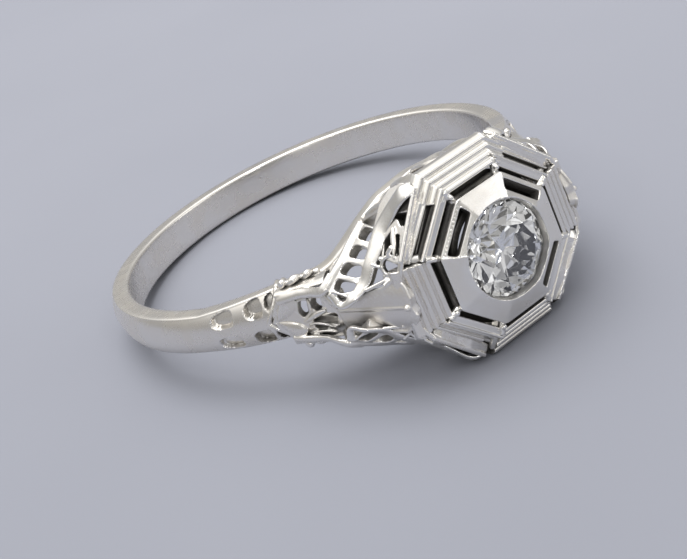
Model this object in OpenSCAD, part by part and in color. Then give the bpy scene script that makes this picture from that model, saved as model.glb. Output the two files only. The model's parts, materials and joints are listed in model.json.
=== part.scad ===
// Filigree engagement ring: a round stone in an eight-sided plate, stepped
// tiers, pierced shoulders and a plain domed shank.
// Frame: origin at the centre of the finger hole, +Z along the finger hole,
// +X towards the stone, -Y towards the near shoulder. The ring lies on its side.

/* [Finger hole and shank] */
// Radius of the finger hole
bore_r = 8.5; // [8.2:0.05:8.8]
// Half width of the shank at its back
shank_half = 0.8; // [0.7:0.05:0.9]
// Half width of the shank where it meets a collar
neck_half = 1.1; // [1.0:0.05:1.2]
// Radius of the flat side face's outer edge at the neck
side_r = 8.95; // [8.85:0.05:9.05]
// Rise of the domed outside above the side face
dome_rise = 0.55; // [0.4:0.05:0.6]
// Angle from the stone at which each collar stands
collar_angle = 40; // [39:0.5:41]

/* [Finger rail] */
// Outer radius of the rail that lies against the finger
rail_r = 9.3; // [9.2:0.05:9.4]
// Half width of the rail under the stone
rail_half = 2.9; // [2.7:0.05:3.0]
// Width of the metal strip on each side of the rail
rail_strip = 0.55; // [0.4:0.05:0.6]

/* [Stone and bezel] */
// Radius of the stone's girdle
stone_r = 1.85; // [1.75:0.05:1.9]
// Height of the opening's edge above the finger axis
bezel_top = 13.45; // [13.4:0.05:13.6]
// Height of the plate's outer rim above the finger axis
rim_top = 13.15; // [13.1:0.05:13.2]
// Distance from the head's axis to a flat of the plate
plate_flat = 2.55; // [2.5:0.05:2.6]
// Thickness of the plate below its rim
plate_thick = 0.4; // [0.3:0.05:0.5]
// Width of the slot behind each diagonal rim wire
slot_w = 0.45; // [0.3:0.05:0.5]

/* [Tiers] */
// Width of the gap between the plate and the tiers
tier_gap = 0.25; // [0.2:0.05:0.3]
// Outer edge of the two side step plates, from the head's axis
side_edge = 3.8; // [3.7:0.05:3.9]
// Outer edge of the two shoulder step plates, from the head's axis
shoulder_edge = 4.15; // [4.05:0.05:4.2]
// Number of steps on each step plate
step_count = 4; // [3:1:5]

/* [Openwork] */
// Radius of the ladder and lattice wires
wire_r = 0.17; // [0.13:0.01:0.2]
// Thickness of the pierced plates
sheet = 0.4; // [0.3:0.05:0.5]
// Outer radius of the round eyelet on each shoulder
eyelet_r = 0.4; // [0.35:0.01:0.45]
// Radius of the beads
bead_r = 0.13; // [0.1:0.01:0.16]

/* [Hidden] */

white_gold = [0.80, 0.79, 0.76];
bright_gold = [0.90, 0.89, 0.86];
shaded_gold = [0.62, 0.61, 0.59];
stone_white = [0.86, 0.89, 0.94];

overlap = 0.05;                       // solder bite between neighbouring pieces
octagon_ratio = 1 / cos(22.5);        // corner radius of an octagon over its flat
tier_inner = plate_flat + tier_gap;   // where the tiers start, from the head's axis
rail_mid_r = (bore_r + rail_r) / 2;
crown_r = side_r + dome_rise;

// Shoulder points, near side, upper half: [x, y, z]
ridge_top = [12.5, -shoulder_edge - 0.05, 0];
ridge_foot = [9.5, -5.17, 0];
eyelet_at = [11.85, -3.76, 1.37];
ladder_top = [
    [11.1, -3.12, 2.45], [11.12, -3.65, 1.93], [11.02, -4.18, 1.47],
    [10.85, -4.74, 1.05], [10.5, -5.28, 0.63]
];
ladder_foot = [
    [9.95, -3.13, 2.58], [9.85, -3.78, 2.2], [9.8, -4.43, 1.85],
    [9.72, -5.03, 1.5], [9.62, -5.58, 1.15]
];
band_top = [12.0, -2.3, 3.45];        // where the shoulder's edge meets the side plate

// --- helpers ---

function unit(v) = v / norm(v);
function middle(p, q, t = 0.5) = p + (q - p) * t;

// Sets children, drawn in the XY plane, on the plane through three points
module on_plane(o, p, q) {
    u = unit(p - o);
    n = unit(cross(p - o, q - o));
    v = cross(n, u);
    multmatrix([
        [u.x, v.x, n.x, o.x],
        [u.y, v.y, n.y, o.y],
        [u.z, v.z, n.z, o.z],
        [0, 0, 0, 1]
    ]) children();
}

// A point's two coordinates on the plane through three points
function flat_xy(o, p, q, point) =
    let (u = unit(p - o), v = cross(unit(cross(p - o, q - o)), u))
    [(point - o) * u, (point - o) * v];

// A sheet with the given corners; each hole is [centre, radius]
module pierced_sheet(corners, holes = []) {
    o = corners[0];
    p = corners[1];
    q = corners[2];
    on_plane(o, p, q)
        translate([0, 0, -sheet])
            linear_extrude(sheet)
                difference() {
                    polygon([for (c = corners) flat_xy(o, p, q, c)]);
                    for (h = holes)
                        translate(flat_xy(o, p, q, h[0])) circle(h[1], $fn = 24);
                }
}

// A straight wire between two points
module wire(p, q, r = wire_r) {
    d = q - p;
    translate(p)
        rotate([0, acos(d.z / norm(d)), atan2(d.y, d.x)])
            cylinder(h = norm(d), r = r, $fn = 8);
}

module wire_path(points, r = wire_r) {
    for (i = [0 : len(points) - 2])
        wire(points[i], points[i + 1], r);
}

module bead(p, r = bead_r) {
    translate(p) sphere(r, $fn = 16);
}

// Stands children, drawn along +Z, along +X at a height on the head's axis
module on_head(x) {
    translate([x, 0, 0]) rotate([0, 90, 0]) children();
}

// An eight-sided prism on the head's axis, flats facing Y and Z
module octagon_prism(flat, x_low, x_high) {
    on_head(x_low)
        rotate(22.5)
            cylinder(h = x_high - x_low, r = flat * octagon_ratio, $fn = 8);
}

module mirrored_z(lower) {
    mirror([0, 0, lower ? 1 : 0]) children();
}

module mirrored_y(far) {
    mirror([0, far ? 1 : 0, 0]) children();
}

module both_ways() {
    children();
    mirror([0, 0, 1]) children();
}

// --- band ---

// Half of the domed profile's width is half; the flat side face ends at edge_r
module band_profile(half, inner_r, edge_r, rise) {
    dome_r = (half * half + rise * rise) / (2 * rise);
    intersection() {
        translate([inner_r, -half]) square([edge_r + rise - inner_r, 2 * half]);
        union() {
            translate([inner_r, -half]) square([edge_r - inner_r, 2 * half]);
            translate([edge_r + rise - dome_r, 0]) circle(dome_r, $fn = 96);
        }
    }
}

module band_arc(from, to, half, inner_r, edge_r, rise) {
    rotate([0, 0, from])
        rotate_extrude(angle = to - from, $fn = 180)
            band_profile(half, inner_r, edge_r, rise);
}

// Narrows the band from the collars to its back
module taper_block() {
    neck_x = crown_r * cos(collar_angle) + 0.2;
    taper_x = 4.2;
    rotate([90, 0, 0])
        translate([0, 0, -crown_r - 1])
            linear_extrude(2 * crown_r + 2)
                polygon([
                    [-crown_r - 1, -shank_half], [taper_x, -shank_half],
                    [neck_x, -neck_half], [neck_x, neck_half],
                    [taper_x, shank_half], [-crown_r - 1, shank_half]
                ]);
}

// One scooped recess in the band's upper flank
module scoop(angle, r) {
    depth = 0.3;
    from_edge = 0.15;                 // of the band, to the scoop's centre
    flank_r = crown_r - dome_rise * 0.4;
    rotate([0, 0, angle])
        translate([flank_r - depth, 0, neck_half - from_edge])
            rotate([0, 90, 0])
                cylinder(h = 2, r = r, $fn = 32);
}

module scoops() {
    scoop_angles = [45.5, 50, 56.5];
    scoop_radii = [0.28, 0.36, 0.42];
    for (far = [false, true])
        mirrored_y(far)
            both_ways()
                for (i = [0 : len(scoop_angles) - 1])
                    scoop(-scoop_angles[i], scoop_radii[i]);
}

module shank() {
    color(white_gold)
        difference() {
            intersection() {
                band_arc(collar_angle + 1, 359 - collar_angle,
                         neck_half, bore_r, side_r, dome_rise);
                taper_block();
            }
            scoops();
        }
}

module collar(far) {
    lip = 0.2;
    half_arc = 1.6;
    color(bright_gold)
        mirrored_y(far)
            band_arc(-collar_angle - half_arc, -collar_angle + half_arc,
                     neck_half + lip / 2, bore_r, side_r + lip, dome_rise);
}

// --- finger rail ---

// One side rail seen from above, in Y and Z: a strip that bows out to rail_half
module rail_strip_outline() {
    end_y = rail_mid_r * sin(collar_angle - 1);
    half = [
        [0, rail_half], [1.6, rail_half - 0.2], [2.65, 2.2], [3.3, 1.8],
        [3.85, 1.45], [4.4, 1.15], [end_y, neck_half]
    ];
    last = len(half) - 1;
    outer = concat([for (i = [last : -1 : 1]) [-half[i].x, half[i].y]], half);
    inner = [for (i = [len(outer) - 1 : -1 : 0]) [outer[i].x, outer[i].y - rail_strip]];
    polygon(concat(outer, inner));
}

module finger_rail(lower) {
    color(shaded_gold)
        mirrored_z(lower)
            intersection() {
                difference() {
                    cylinder(h = 2 * rail_half + 1, r = rail_r, center = true, $fn = 180);
                    cylinder(h = 2 * rail_half + 2, r = bore_r, center = true, $fn = 180);
                }
                rotate([90, 0, 90])
                    linear_extrude(rail_r + 1)
                        rail_strip_outline();
            }
}

// Small curled leaves that stand on the rail beside each collar
module rail_leaves() {
    leaf_angles = [31.5, 35.5];
    leaf_r = 0.3;
    leaf_h = 0.35;
    from_edge = 0.25;
    color(bright_gold)
        for (far = [false, true])
            mirrored_y(far)
                both_ways()
                    for (a = leaf_angles)
                        rotate([0, 0, -a])
                            translate([rail_r - overlap, 0, neck_half - from_edge])
                                rotate([0, 90, 0])
                                    cylinder(h = leaf_h, r = leaf_r, $fn = 24);
}

// --- side galleries ---

module gallery(lower) {
    foot_z = rail_half - 0.1;
    top_z = side_edge - 0.1;
    foot_x = rail_r - 0.25;
    top_x = 11.75;
    foot_y = 1.7;
    top_y = 2.35;
    oval_at = 1.8;
    corners = [
        [foot_x, foot_y, foot_z], [foot_x, -foot_y, foot_z],
        [top_x, -top_y, top_z], [top_x, top_y, top_z]
    ];
    holes = [
        for (y = [-oval_at, oval_at]) [[10.6, y, middle(foot_z, top_z, 0.6)], 0.42],
        for (y = [-0.6, 0.6]) [[10.2, y, middle(foot_z, top_z, 0.45)], 0.46]
    ];
    color(shaded_gold)
        mirrored_z(lower)
            pierced_sheet([for (i = [3 : -1 : 0]) corners[i]], holes);
}

// --- shoulders ---

// The ladder of four windows between the shoulder's edge and the finger rail
module ladder(far, lower) {
    rail_angles = [16.5, 19.5, 23, 26.5, 30];
    rail_z = [2.0, 1.72, 1.38, 1.08, 0.9];
    color(bright_gold)
        mirrored_y(far)
            mirrored_z(lower) {
                wire_path(concat([band_top], ladder_top), wire_r * 1.3);
                wire_path(ladder_foot, wire_r * 1.1);
                for (i = [0 : len(ladder_top) - 1]) {
                    wire(ladder_top[i], ladder_foot[i]);
                    // a post down to the finger rail
                    wire(ladder_foot[i], [
                        (rail_r - 0.1) * cos(rail_angles[i]),
                        -(rail_r - 0.1) * sin(rail_angles[i]),
                        rail_z[i]
                    ]);
                }
            }
}

// Two flat petals that meet on the shoulder's ridge
module petals(far) {
    upper_edge = [[12.45, -3.95, 0.75], [12.1, -4.1, 1.0], [11.45, -4.6, 0.75], [10.9, -4.9, 0.5]];
    color(white_gold)
        mirrored_y(far)
            both_ways()
                pierced_sheet(concat([ridge_top, ridge_foot],
                                     [for (i = [3 : -1 : 0]) upper_edge[i]]));
}

// Pierced corner between a diagonal tier and a ladder
module corner(far, lower) {
    inner_a = [12.1, -2.0, 3.4];
    inner_b = [12.2, -3.55, 1.8];
    color(white_gold)
        mirrored_y(far)
            mirrored_z(lower) {
                pierced_sheet(
                    [inner_a, inner_b, ladder_top[1], ladder_top[0], middle(band_top, ladder_top[0], 0.4)],
                    [
                        [[11.75, -2.65, 2.7], 0.22],
                        [[11.65, -3.15, 2.2], 0.2],
                        [[11.6, -3.4, 1.95], 0.16]
                    ]
                );
                wire(inner_b, eyelet_at + [0, 0, eyelet_r]);
            }
}

// A round eyelet with four beads, held by two lattice wires
module eyelet(far, lower) {
    facing = unit([0.28, -0.886, 0.367]);
    side = unit(cross(facing, [0, 0, 1]));
    up = cross(side, facing);
    bead_ring = eyelet_r + bead_r * 0.6;
    grip_r = eyelet_r - wire_r / 2;      // wires end inside the ring's wall
    color(bright_gold)
        mirrored_y(far)
            mirrored_z(lower) {
                on_plane(eyelet_at, eyelet_at + side, eyelet_at + up)
                    difference() {
                        cylinder(h = sheet, r = eyelet_r, center = true, $fn = 32);
                        cylinder(h = 2, r = eyelet_r - wire_r, center = true, $fn = 32);
                    }
                for (a = [45 : 90 : 315])
                    bead(eyelet_at + (side * cos(a) + up * sin(a)) * bead_ring);
                wire(eyelet_at - up * grip_r, [11.75, -4.3, 0.85], wire_r * 0.65);
                wire(eyelet_at - side * grip_r, ladder_top[2], wire_r * 0.65);
            }
}

// Pierced spray of leaves between the shoulder's point and a collar
module spray(far) {
    collar_end = collar_angle - 1.6;
    end_r = 9.75;
    end = [end_r * cos(collar_end), -end_r * sin(collar_end)];
    half_front = 1.2;
    corners = [
        [ridge_foot.x, ridge_foot.y, half_front], [ridge_foot.x, ridge_foot.y, -half_front],
        [end.x, end.y, -neck_half], [end.x, end.y, neck_half]
    ];
    color(white_gold)
        mirrored_y(far)
            pierced_sheet(
                [for (i = [3 : -1 : 0]) corners[i]],
                [
                    for (t = [0.3, 0.68], z = [-0.48, 0.48])
                        [[ridge_foot.x + (end.x - ridge_foot.x) * t,
                          ridge_foot.y + (end.y - ridge_foot.y) * t, z], 0.25]
                ]
            );
}

// --- stepped tiers ---

// One step plate: steps that fall away from the plate's rim, drawn towards +Z
module step_plate(edge, drop, flare) {
    step = (edge - tier_inner) / step_count;
    ridge_share = 0.8;                // of a step's width; the rest is groove
    first_drop = 0.25;                // from the plate's rim to the first step
    floor_thick = 0.3;
    foot_x = rim_top - drop - 0.35;
    for (i = [0 : step_count - 1]) {
        near_edge = tier_inner + i * step;
        far_edge = near_edge + step * ridge_share;
        half_near = near_edge * tan(22.5) + flare * i / step_count;
        half_far = far_edge * tan(22.5) + flare * (i + 1) / step_count;
        top_x = rim_top - first_drop - drop * i / step_count;
        translate([foot_x - overlap * i, 0, 0])
            rotate([90, 0, 90])
                linear_extrude(top_x - foot_x + overlap * i)
                    polygon([
                        [-half_near, near_edge], [half_near, near_edge],
                        [half_far, far_edge], [-half_far, far_edge]
                    ]);
    }
    // the floor that carries the steps
    half_in = tier_inner * tan(22.5);
    half_out = edge * tan(22.5) + flare;
    translate([foot_x - overlap * step_count, 0, 0])
        rotate([90, 0, 90])
            linear_extrude(floor_thick)
                polygon([
                    [-half_in, tier_inner], [half_in, tier_inner],
                    [half_out, edge], [-half_out, edge]
                ]);
}

module side_step_plate(lower) {
    color(bright_gold)
        mirrored_z(lower)
            step_plate(side_edge, 0.9, 0.9);
}

module shoulder_step_plate(far) {
    color(white_gold)
        mirrored_y(far)
            rotate([90, 0, 0])
                step_plate(shoulder_edge, 0.4, -0.5);
}

wire_deep = 0.4;                      // height of the wires on the diagonals

// Straight wires that cross the four diagonals of the head, each from a
// shoulder plate (to_shoulder from the diagonal) to a side plate (to_side)
module diagonal_wires(flat, width, top_x, thick, to_shoulder, to_side) {
    for (far = [false, true])
        mirrored_y(far)
            both_ways()
                rotate([45, 0, 0])
                    translate([top_x - thick, -to_shoulder, flat])
                        cube([thick, to_shoulder + to_side, width]);
}

module inner_wires() {
    reach = tier_inner * tan(22.5);
    wire_w = 0.22;
    top_x = 12.85;
    color(bright_gold)
        diagonal_wires(tier_inner, wire_w, top_x, wire_deep, reach, reach);
}

// Twin wires outside the wide slot, and the slot's dark floor
module outer_wires() {
    wire_w = 0.13;
    pitch = 0.19;
    flat = 3.3;
    to_shoulder = flat * tan(22.5) + 0.15;
    to_side = 0.8;
    top_x = 12.5;
    wire_drop = 0.12;                 // from the first wire's top to the second's
    floor_w = flat - tier_inner - 0.1;
    floor_x = 12.3;
    floor_thick = 0.12;
    color(bright_gold) {
        for (i = [0, 1])
            diagonal_wires(flat + i * pitch, wire_w, top_x - i * wire_drop, wire_deep,
                           to_shoulder, to_side);
        diagonal_wires(flat - floor_w, floor_w + overlap, floor_x, floor_thick,
                       to_shoulder, to_side);
    }
}

// Beads and posts that tie the plate to the tiers at its eight corners
module corner_bridges() {
    corner_r = plate_flat * octagon_ratio;
    bridge_w = 0.3;
    bridge_h = 0.55;
    bridge_foot = 0.75;               // below the plate's rim
    bite = 0.15;                      // into the plate
    color(bright_gold)
        for (a = [22.5 : 45 : 359])
            rotate([a, 0, 0]) {
                translate([rim_top - bridge_foot, -bridge_w / 2, corner_r - bite])
                    cube([bridge_h, bridge_w, tier_gap + 0.35]);
                bead([rim_top - 0.15, 0, corner_r + tier_gap / 2], bead_r * 1.2);
            }
}

// --- stone setting ---

module bezel_plate() {
    opening_r = stone_r - 0.02;
    seat_r = stone_r + 0.12;
    rim_wire = 0.15;                  // width left outside each slot
    slot_len = 2 * (plate_flat - 0.5) * tan(22.5) + 0.25;
    color(bright_gold)
        difference() {
            union() {
                octagon_prism(plate_flat, rim_top - plate_thick, rim_top);
                on_head(rim_top - overlap)
                    cylinder(h = bezel_top - rim_top + overlap,
                             r1 = plate_flat - 0.05, r2 = seat_r, $fn = 96);
            }
            on_head(rim_top - 2) cylinder(h = 4, r = opening_r, $fn = 96);
            for (a = [45, 225, 315])       // the near lower diagonal is left whole
                rotate([a, 0, 0])
                    translate([rim_top - 1, -slot_len / 2, plate_flat - rim_wire - slot_w])
                        cube([2, slot_len, slot_w]);
        }
}

// A cup under the stone, open at both ends; its flange closes the slots from below
module collet() {
    wall = 0.2;
    height = 1.6;
    flange_thick = 0.15;
    flange_drop = 0.35;
    top_x = rim_top - plate_thick;
    color(shaded_gold)
        on_head(top_x - height)
            difference() {
                union() {
                    cylinder(h = height + overlap, r1 = stone_r - 0.35, r2 = stone_r + wall, $fn = 96);
                    translate([0, 0, height - flange_drop - flange_thick])
                        cylinder(h = flange_thick, r = tier_inner, $fn = 96);
                }
                translate([0, 0, -1])
                    cylinder(h = height + 2, r1 = stone_r - 0.65, r2 = stone_r + 0.02, $fn = 96);
            }
}

module diamond() {
    girdle_x = 13.1;
    girdle_h = 0.08;
    crown_h = 0.62;
    pavilion_h = 1.45;
    table_r = stone_r * 0.5;
    culet_r = stone_r * 0.05;
    color(stone_white) {
        on_head(girdle_x) cylinder(h = girdle_h, r = stone_r - 0.03, $fn = 64);
        on_head(girdle_x + girdle_h)
            cylinder(h = crown_h, r1 = stone_r - 0.03, r2 = table_r, $fn = 16);
        on_head(girdle_x - pavilion_h)
            cylinder(h = pavilion_h, r1 = culet_r, r2 = stone_r - 0.03, $fn = 16);
    }
}

shank();
collar(false);  // collar_near
collar(true);  // collar_far
finger_rail(false);  // rail_upper
finger_rail(true);  // rail_lower
rail_leaves();
gallery(false);  // gallery_upper
gallery(true);  // gallery_lower
spray(false);  // spray_near
spray(true);  // spray_far
petals(false);  // petals_near
petals(true);  // petals_far
ladder(false, false);  // ladder_near_upper
ladder(false, true);  // ladder_near_lower
ladder(true, false);  // ladder_far_upper
ladder(true, true);  // ladder_far_lower
corner(false, false);  // corner_near_upper
corner(false, true);  // corner_near_lower
corner(true, false);  // corner_far_upper
corner(true, true);  // corner_far_lower
eyelet(false, false);  // eyelet_near_upper
eyelet(false, true);  // eyelet_near_lower
eyelet(true, false);  // eyelet_far_upper
eyelet(true, true);  // eyelet_far_lower
side_step_plate(false);  // step_plate_upper
side_step_plate(true);  // step_plate_lower
shoulder_step_plate(false);  // step_plate_near
shoulder_step_plate(true);  // step_plate_far
inner_wires();
outer_wires();
corner_bridges();
bezel_plate();
collet();
diamond();
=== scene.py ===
"""Looks of the filigree engagement ring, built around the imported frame.

Shapes are worked out in millimetres, in the frame's own axes: the finger hole
runs along Z, the stone faces +X and the near shoulder is towards -Y. Each
piece is scaled to metres when its mesh is made.
"""
import json
from math import cos, pi, radians, sin, sqrt, tan

import bmesh
import bpy
import numpy as np
from mathutils import Matrix, Vector
from mathutils.geometry import delaunay_2d_cdt

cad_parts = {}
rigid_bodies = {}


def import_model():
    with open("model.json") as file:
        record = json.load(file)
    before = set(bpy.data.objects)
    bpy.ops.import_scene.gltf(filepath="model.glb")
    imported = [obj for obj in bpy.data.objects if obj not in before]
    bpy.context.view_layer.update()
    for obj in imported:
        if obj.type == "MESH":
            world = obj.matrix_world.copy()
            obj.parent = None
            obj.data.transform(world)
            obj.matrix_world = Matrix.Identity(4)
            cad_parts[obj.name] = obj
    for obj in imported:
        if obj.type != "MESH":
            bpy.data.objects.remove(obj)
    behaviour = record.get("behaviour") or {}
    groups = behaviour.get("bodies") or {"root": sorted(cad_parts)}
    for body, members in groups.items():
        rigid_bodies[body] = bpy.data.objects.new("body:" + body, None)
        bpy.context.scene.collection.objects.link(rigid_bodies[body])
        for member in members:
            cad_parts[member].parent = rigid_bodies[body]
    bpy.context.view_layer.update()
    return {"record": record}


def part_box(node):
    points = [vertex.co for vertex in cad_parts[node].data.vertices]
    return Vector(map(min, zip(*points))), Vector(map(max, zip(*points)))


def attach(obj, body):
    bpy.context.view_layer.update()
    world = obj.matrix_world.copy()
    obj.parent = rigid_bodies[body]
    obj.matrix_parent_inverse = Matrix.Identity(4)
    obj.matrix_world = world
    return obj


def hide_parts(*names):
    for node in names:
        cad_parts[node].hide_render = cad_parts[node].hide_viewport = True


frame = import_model()

MM = 0.001


def in_mm(node):
    """A CAD node's lowest and highest corners in millimetres."""
    low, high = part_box(node)
    return low / MM, high / MM


# --- driving sizes, from the frame ---

SHANK_LOW, SHANK_HIGH = in_mm("shank")
RAIL_HIGH = in_mm("rail_upper")[1]
SIDE_LOW, SIDE_HIGH = in_mm("step_plate_upper")
SHOULDER_LOW = in_mm("step_plate_near")[0]
BEZEL_HIGH = in_mm("bezel_plate")[1]
COLLET_LOW, COLLET_HIGH = in_mm("collet")
DIAMOND_LOW, DIAMOND_HIGH = in_mm("diamond")

BORE_R = next(m["dims"]["r_mm"] for m in frame["record"]["mounts"]
              if m["name"] == "finger_bore")
CROWN_R = SHANK_HIGH.y                    # highest line of the domed band
DOME_RISE = 0.55
SIDE_R = CROWN_R - DOME_RISE
NECK_HALF = 1.1                           # half width where the band meets a collar
BACK_HALF = NECK_HALF - 0.3               # half width at the back of the band
COLLAR_ANGLE = 40.0
RAIL_R = RAIL_HIGH.x
RAIL_HALF = RAIL_HIGH.z
RAIL_STRIP = 0.55
STONE_R = DIAMOND_HIGH.z
PLATE_FLAT = BEZEL_HIGH.z                 # head's axis to a flat of the plate
BEZEL_TOP = BEZEL_HIGH.x
RIM_TOP = BEZEL_TOP - 0.3
TIER_INNER = SIDE_LOW.z
SIDE_EDGE = SIDE_HIGH.z
SHOULDER_EDGE = -SHOULDER_LOW.y
TIER_TOP = SIDE_HIGH.x
SHEET = 0.4                               # thickness of the pierced sheets
OCTANT = radians(22.5)
HEAD_CORE = Vector((9.5, 0, 0))           # sheets face away from here

# Shoulder points of the near side's upper half
RIDGE_TOP = Vector((12.5, -SHOULDER_EDGE - 0.05, 0))
RIDGE_FOOT = Vector((9.5, -5.17, 0))
EYELET_AT = Vector((11.85, -3.76, 1.37))
LADDER_TOP = [
    Vector((11.1, -3.1, 2.42)), Vector((11.12, -3.64, 1.95)), Vector((11.08, -4.12, 1.52)),
    Vector((10.95, -4.54, 0.98)), Vector((10.7, -5.12, 0.66)),
]
LADDER_FOOT = [
    Vector((9.95, -3.13, 2.58)), Vector((9.88, -3.78, 2.18)), Vector((9.92, -4.41, 1.81)),
    Vector((9.83, -5.0, 1.46)), Vector((9.68, -5.55, 1.12)),
]
BAND_TOP = Vector((12.0, -2.3, 3.45))     # where the shoulder's edge meets a side plate


# --- curves and outlines ---

def spline(points, count):
    """Evenly counted points on a smooth curve through the given ones."""
    points = [Vector(p) for p in points]
    ends = [2 * points[0] - points[1]] + points + [2 * points[-1] - points[-2]]
    out = []
    for i in range(count):
        at = i / (count - 1) * (len(points) - 1)
        k = min(int(at), len(points) - 2)
        t = at - k
        a, b, c, d = ends[k:k + 4]
        out.append(0.5 * (2 * b + (c - a) * t + (2 * a - 5 * b + 4 * c - d) * t * t
                          + (3 * b - a - 3 * c + d) * t ** 3))
    return out


def mix(a, b, t):
    return a + (b - a) * t


def smoothstep(low, high, value):
    t = min(1.0, max(0.0, (value - low) / (high - low)))
    return t * t * (3 - 2 * t)


def between(table, at):
    """Straight-line value from a short list of (place, value) pairs."""
    if at <= table[0][0]:
        return table[0][1]
    for (a, va), (b, vb) in zip(table, table[1:]):
        if at <= b:
            return mix(va, vb, (at - a) / (b - a))
    return table[-1][1]


def oval(cx, cy, rx, ry, turn=0.0, power=2.0, count=28):
    """An oval outline; a power above 2 squares its sides."""
    out = []
    for i in range(count):
        a = 2 * pi * i / count
        x = rx * abs(cos(a)) ** (2 / power) * (1 if cos(a) >= 0 else -1)
        y = ry * abs(sin(a)) ** (2 / power) * (1 if sin(a) >= 0 else -1)
        out.append((cx + x * cos(turn) - y * sin(turn), cy + x * sin(turn) + y * cos(turn)))
    return out


def rounded(points, radius=0.12, steps=4):
    """A straight-sided outline with its corners cut round."""
    points = [Vector(p) for p in points]
    out = []
    for i, p in enumerate(points):
        before, after = points[i - 1] - p, points[(i + 1) % len(points)] - p
        cut = min(radius, before.length * 0.45, after.length * 0.45)
        a, b = p + before.normalized() * cut, p + after.normalized() * cut
        for k in range(steps + 1):
            t = k / steps
            out.append(tuple(a * (1 - t) ** 2 + p * 2 * t * (1 - t) + b * t * t))
    return out


def on_circle(radius, angle, z):
    """A point about the finger hole; the angle is from the stone, in degrees."""
    return Vector((radius * cos(radians(angle)), -radius * sin(radians(angle)), z))


def on_head(x, along, away, turn):
    """A point about the head's axis: away from it towards turn, and along that side."""
    c, s = cos(turn), sin(turn)
    return Vector((x, along * c - away * s, along * s + away * c))


def flat_frame(origin, towards, third):
    """A place() function for the plane through three points."""
    u = (towards - origin).normalized()
    n = (towards - origin).cross(third - origin).normalized()
    v = n.cross(u)
    return lambda a, b: origin + u * a + v * b


# --- closed solids, gathered for one casting ---

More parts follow.
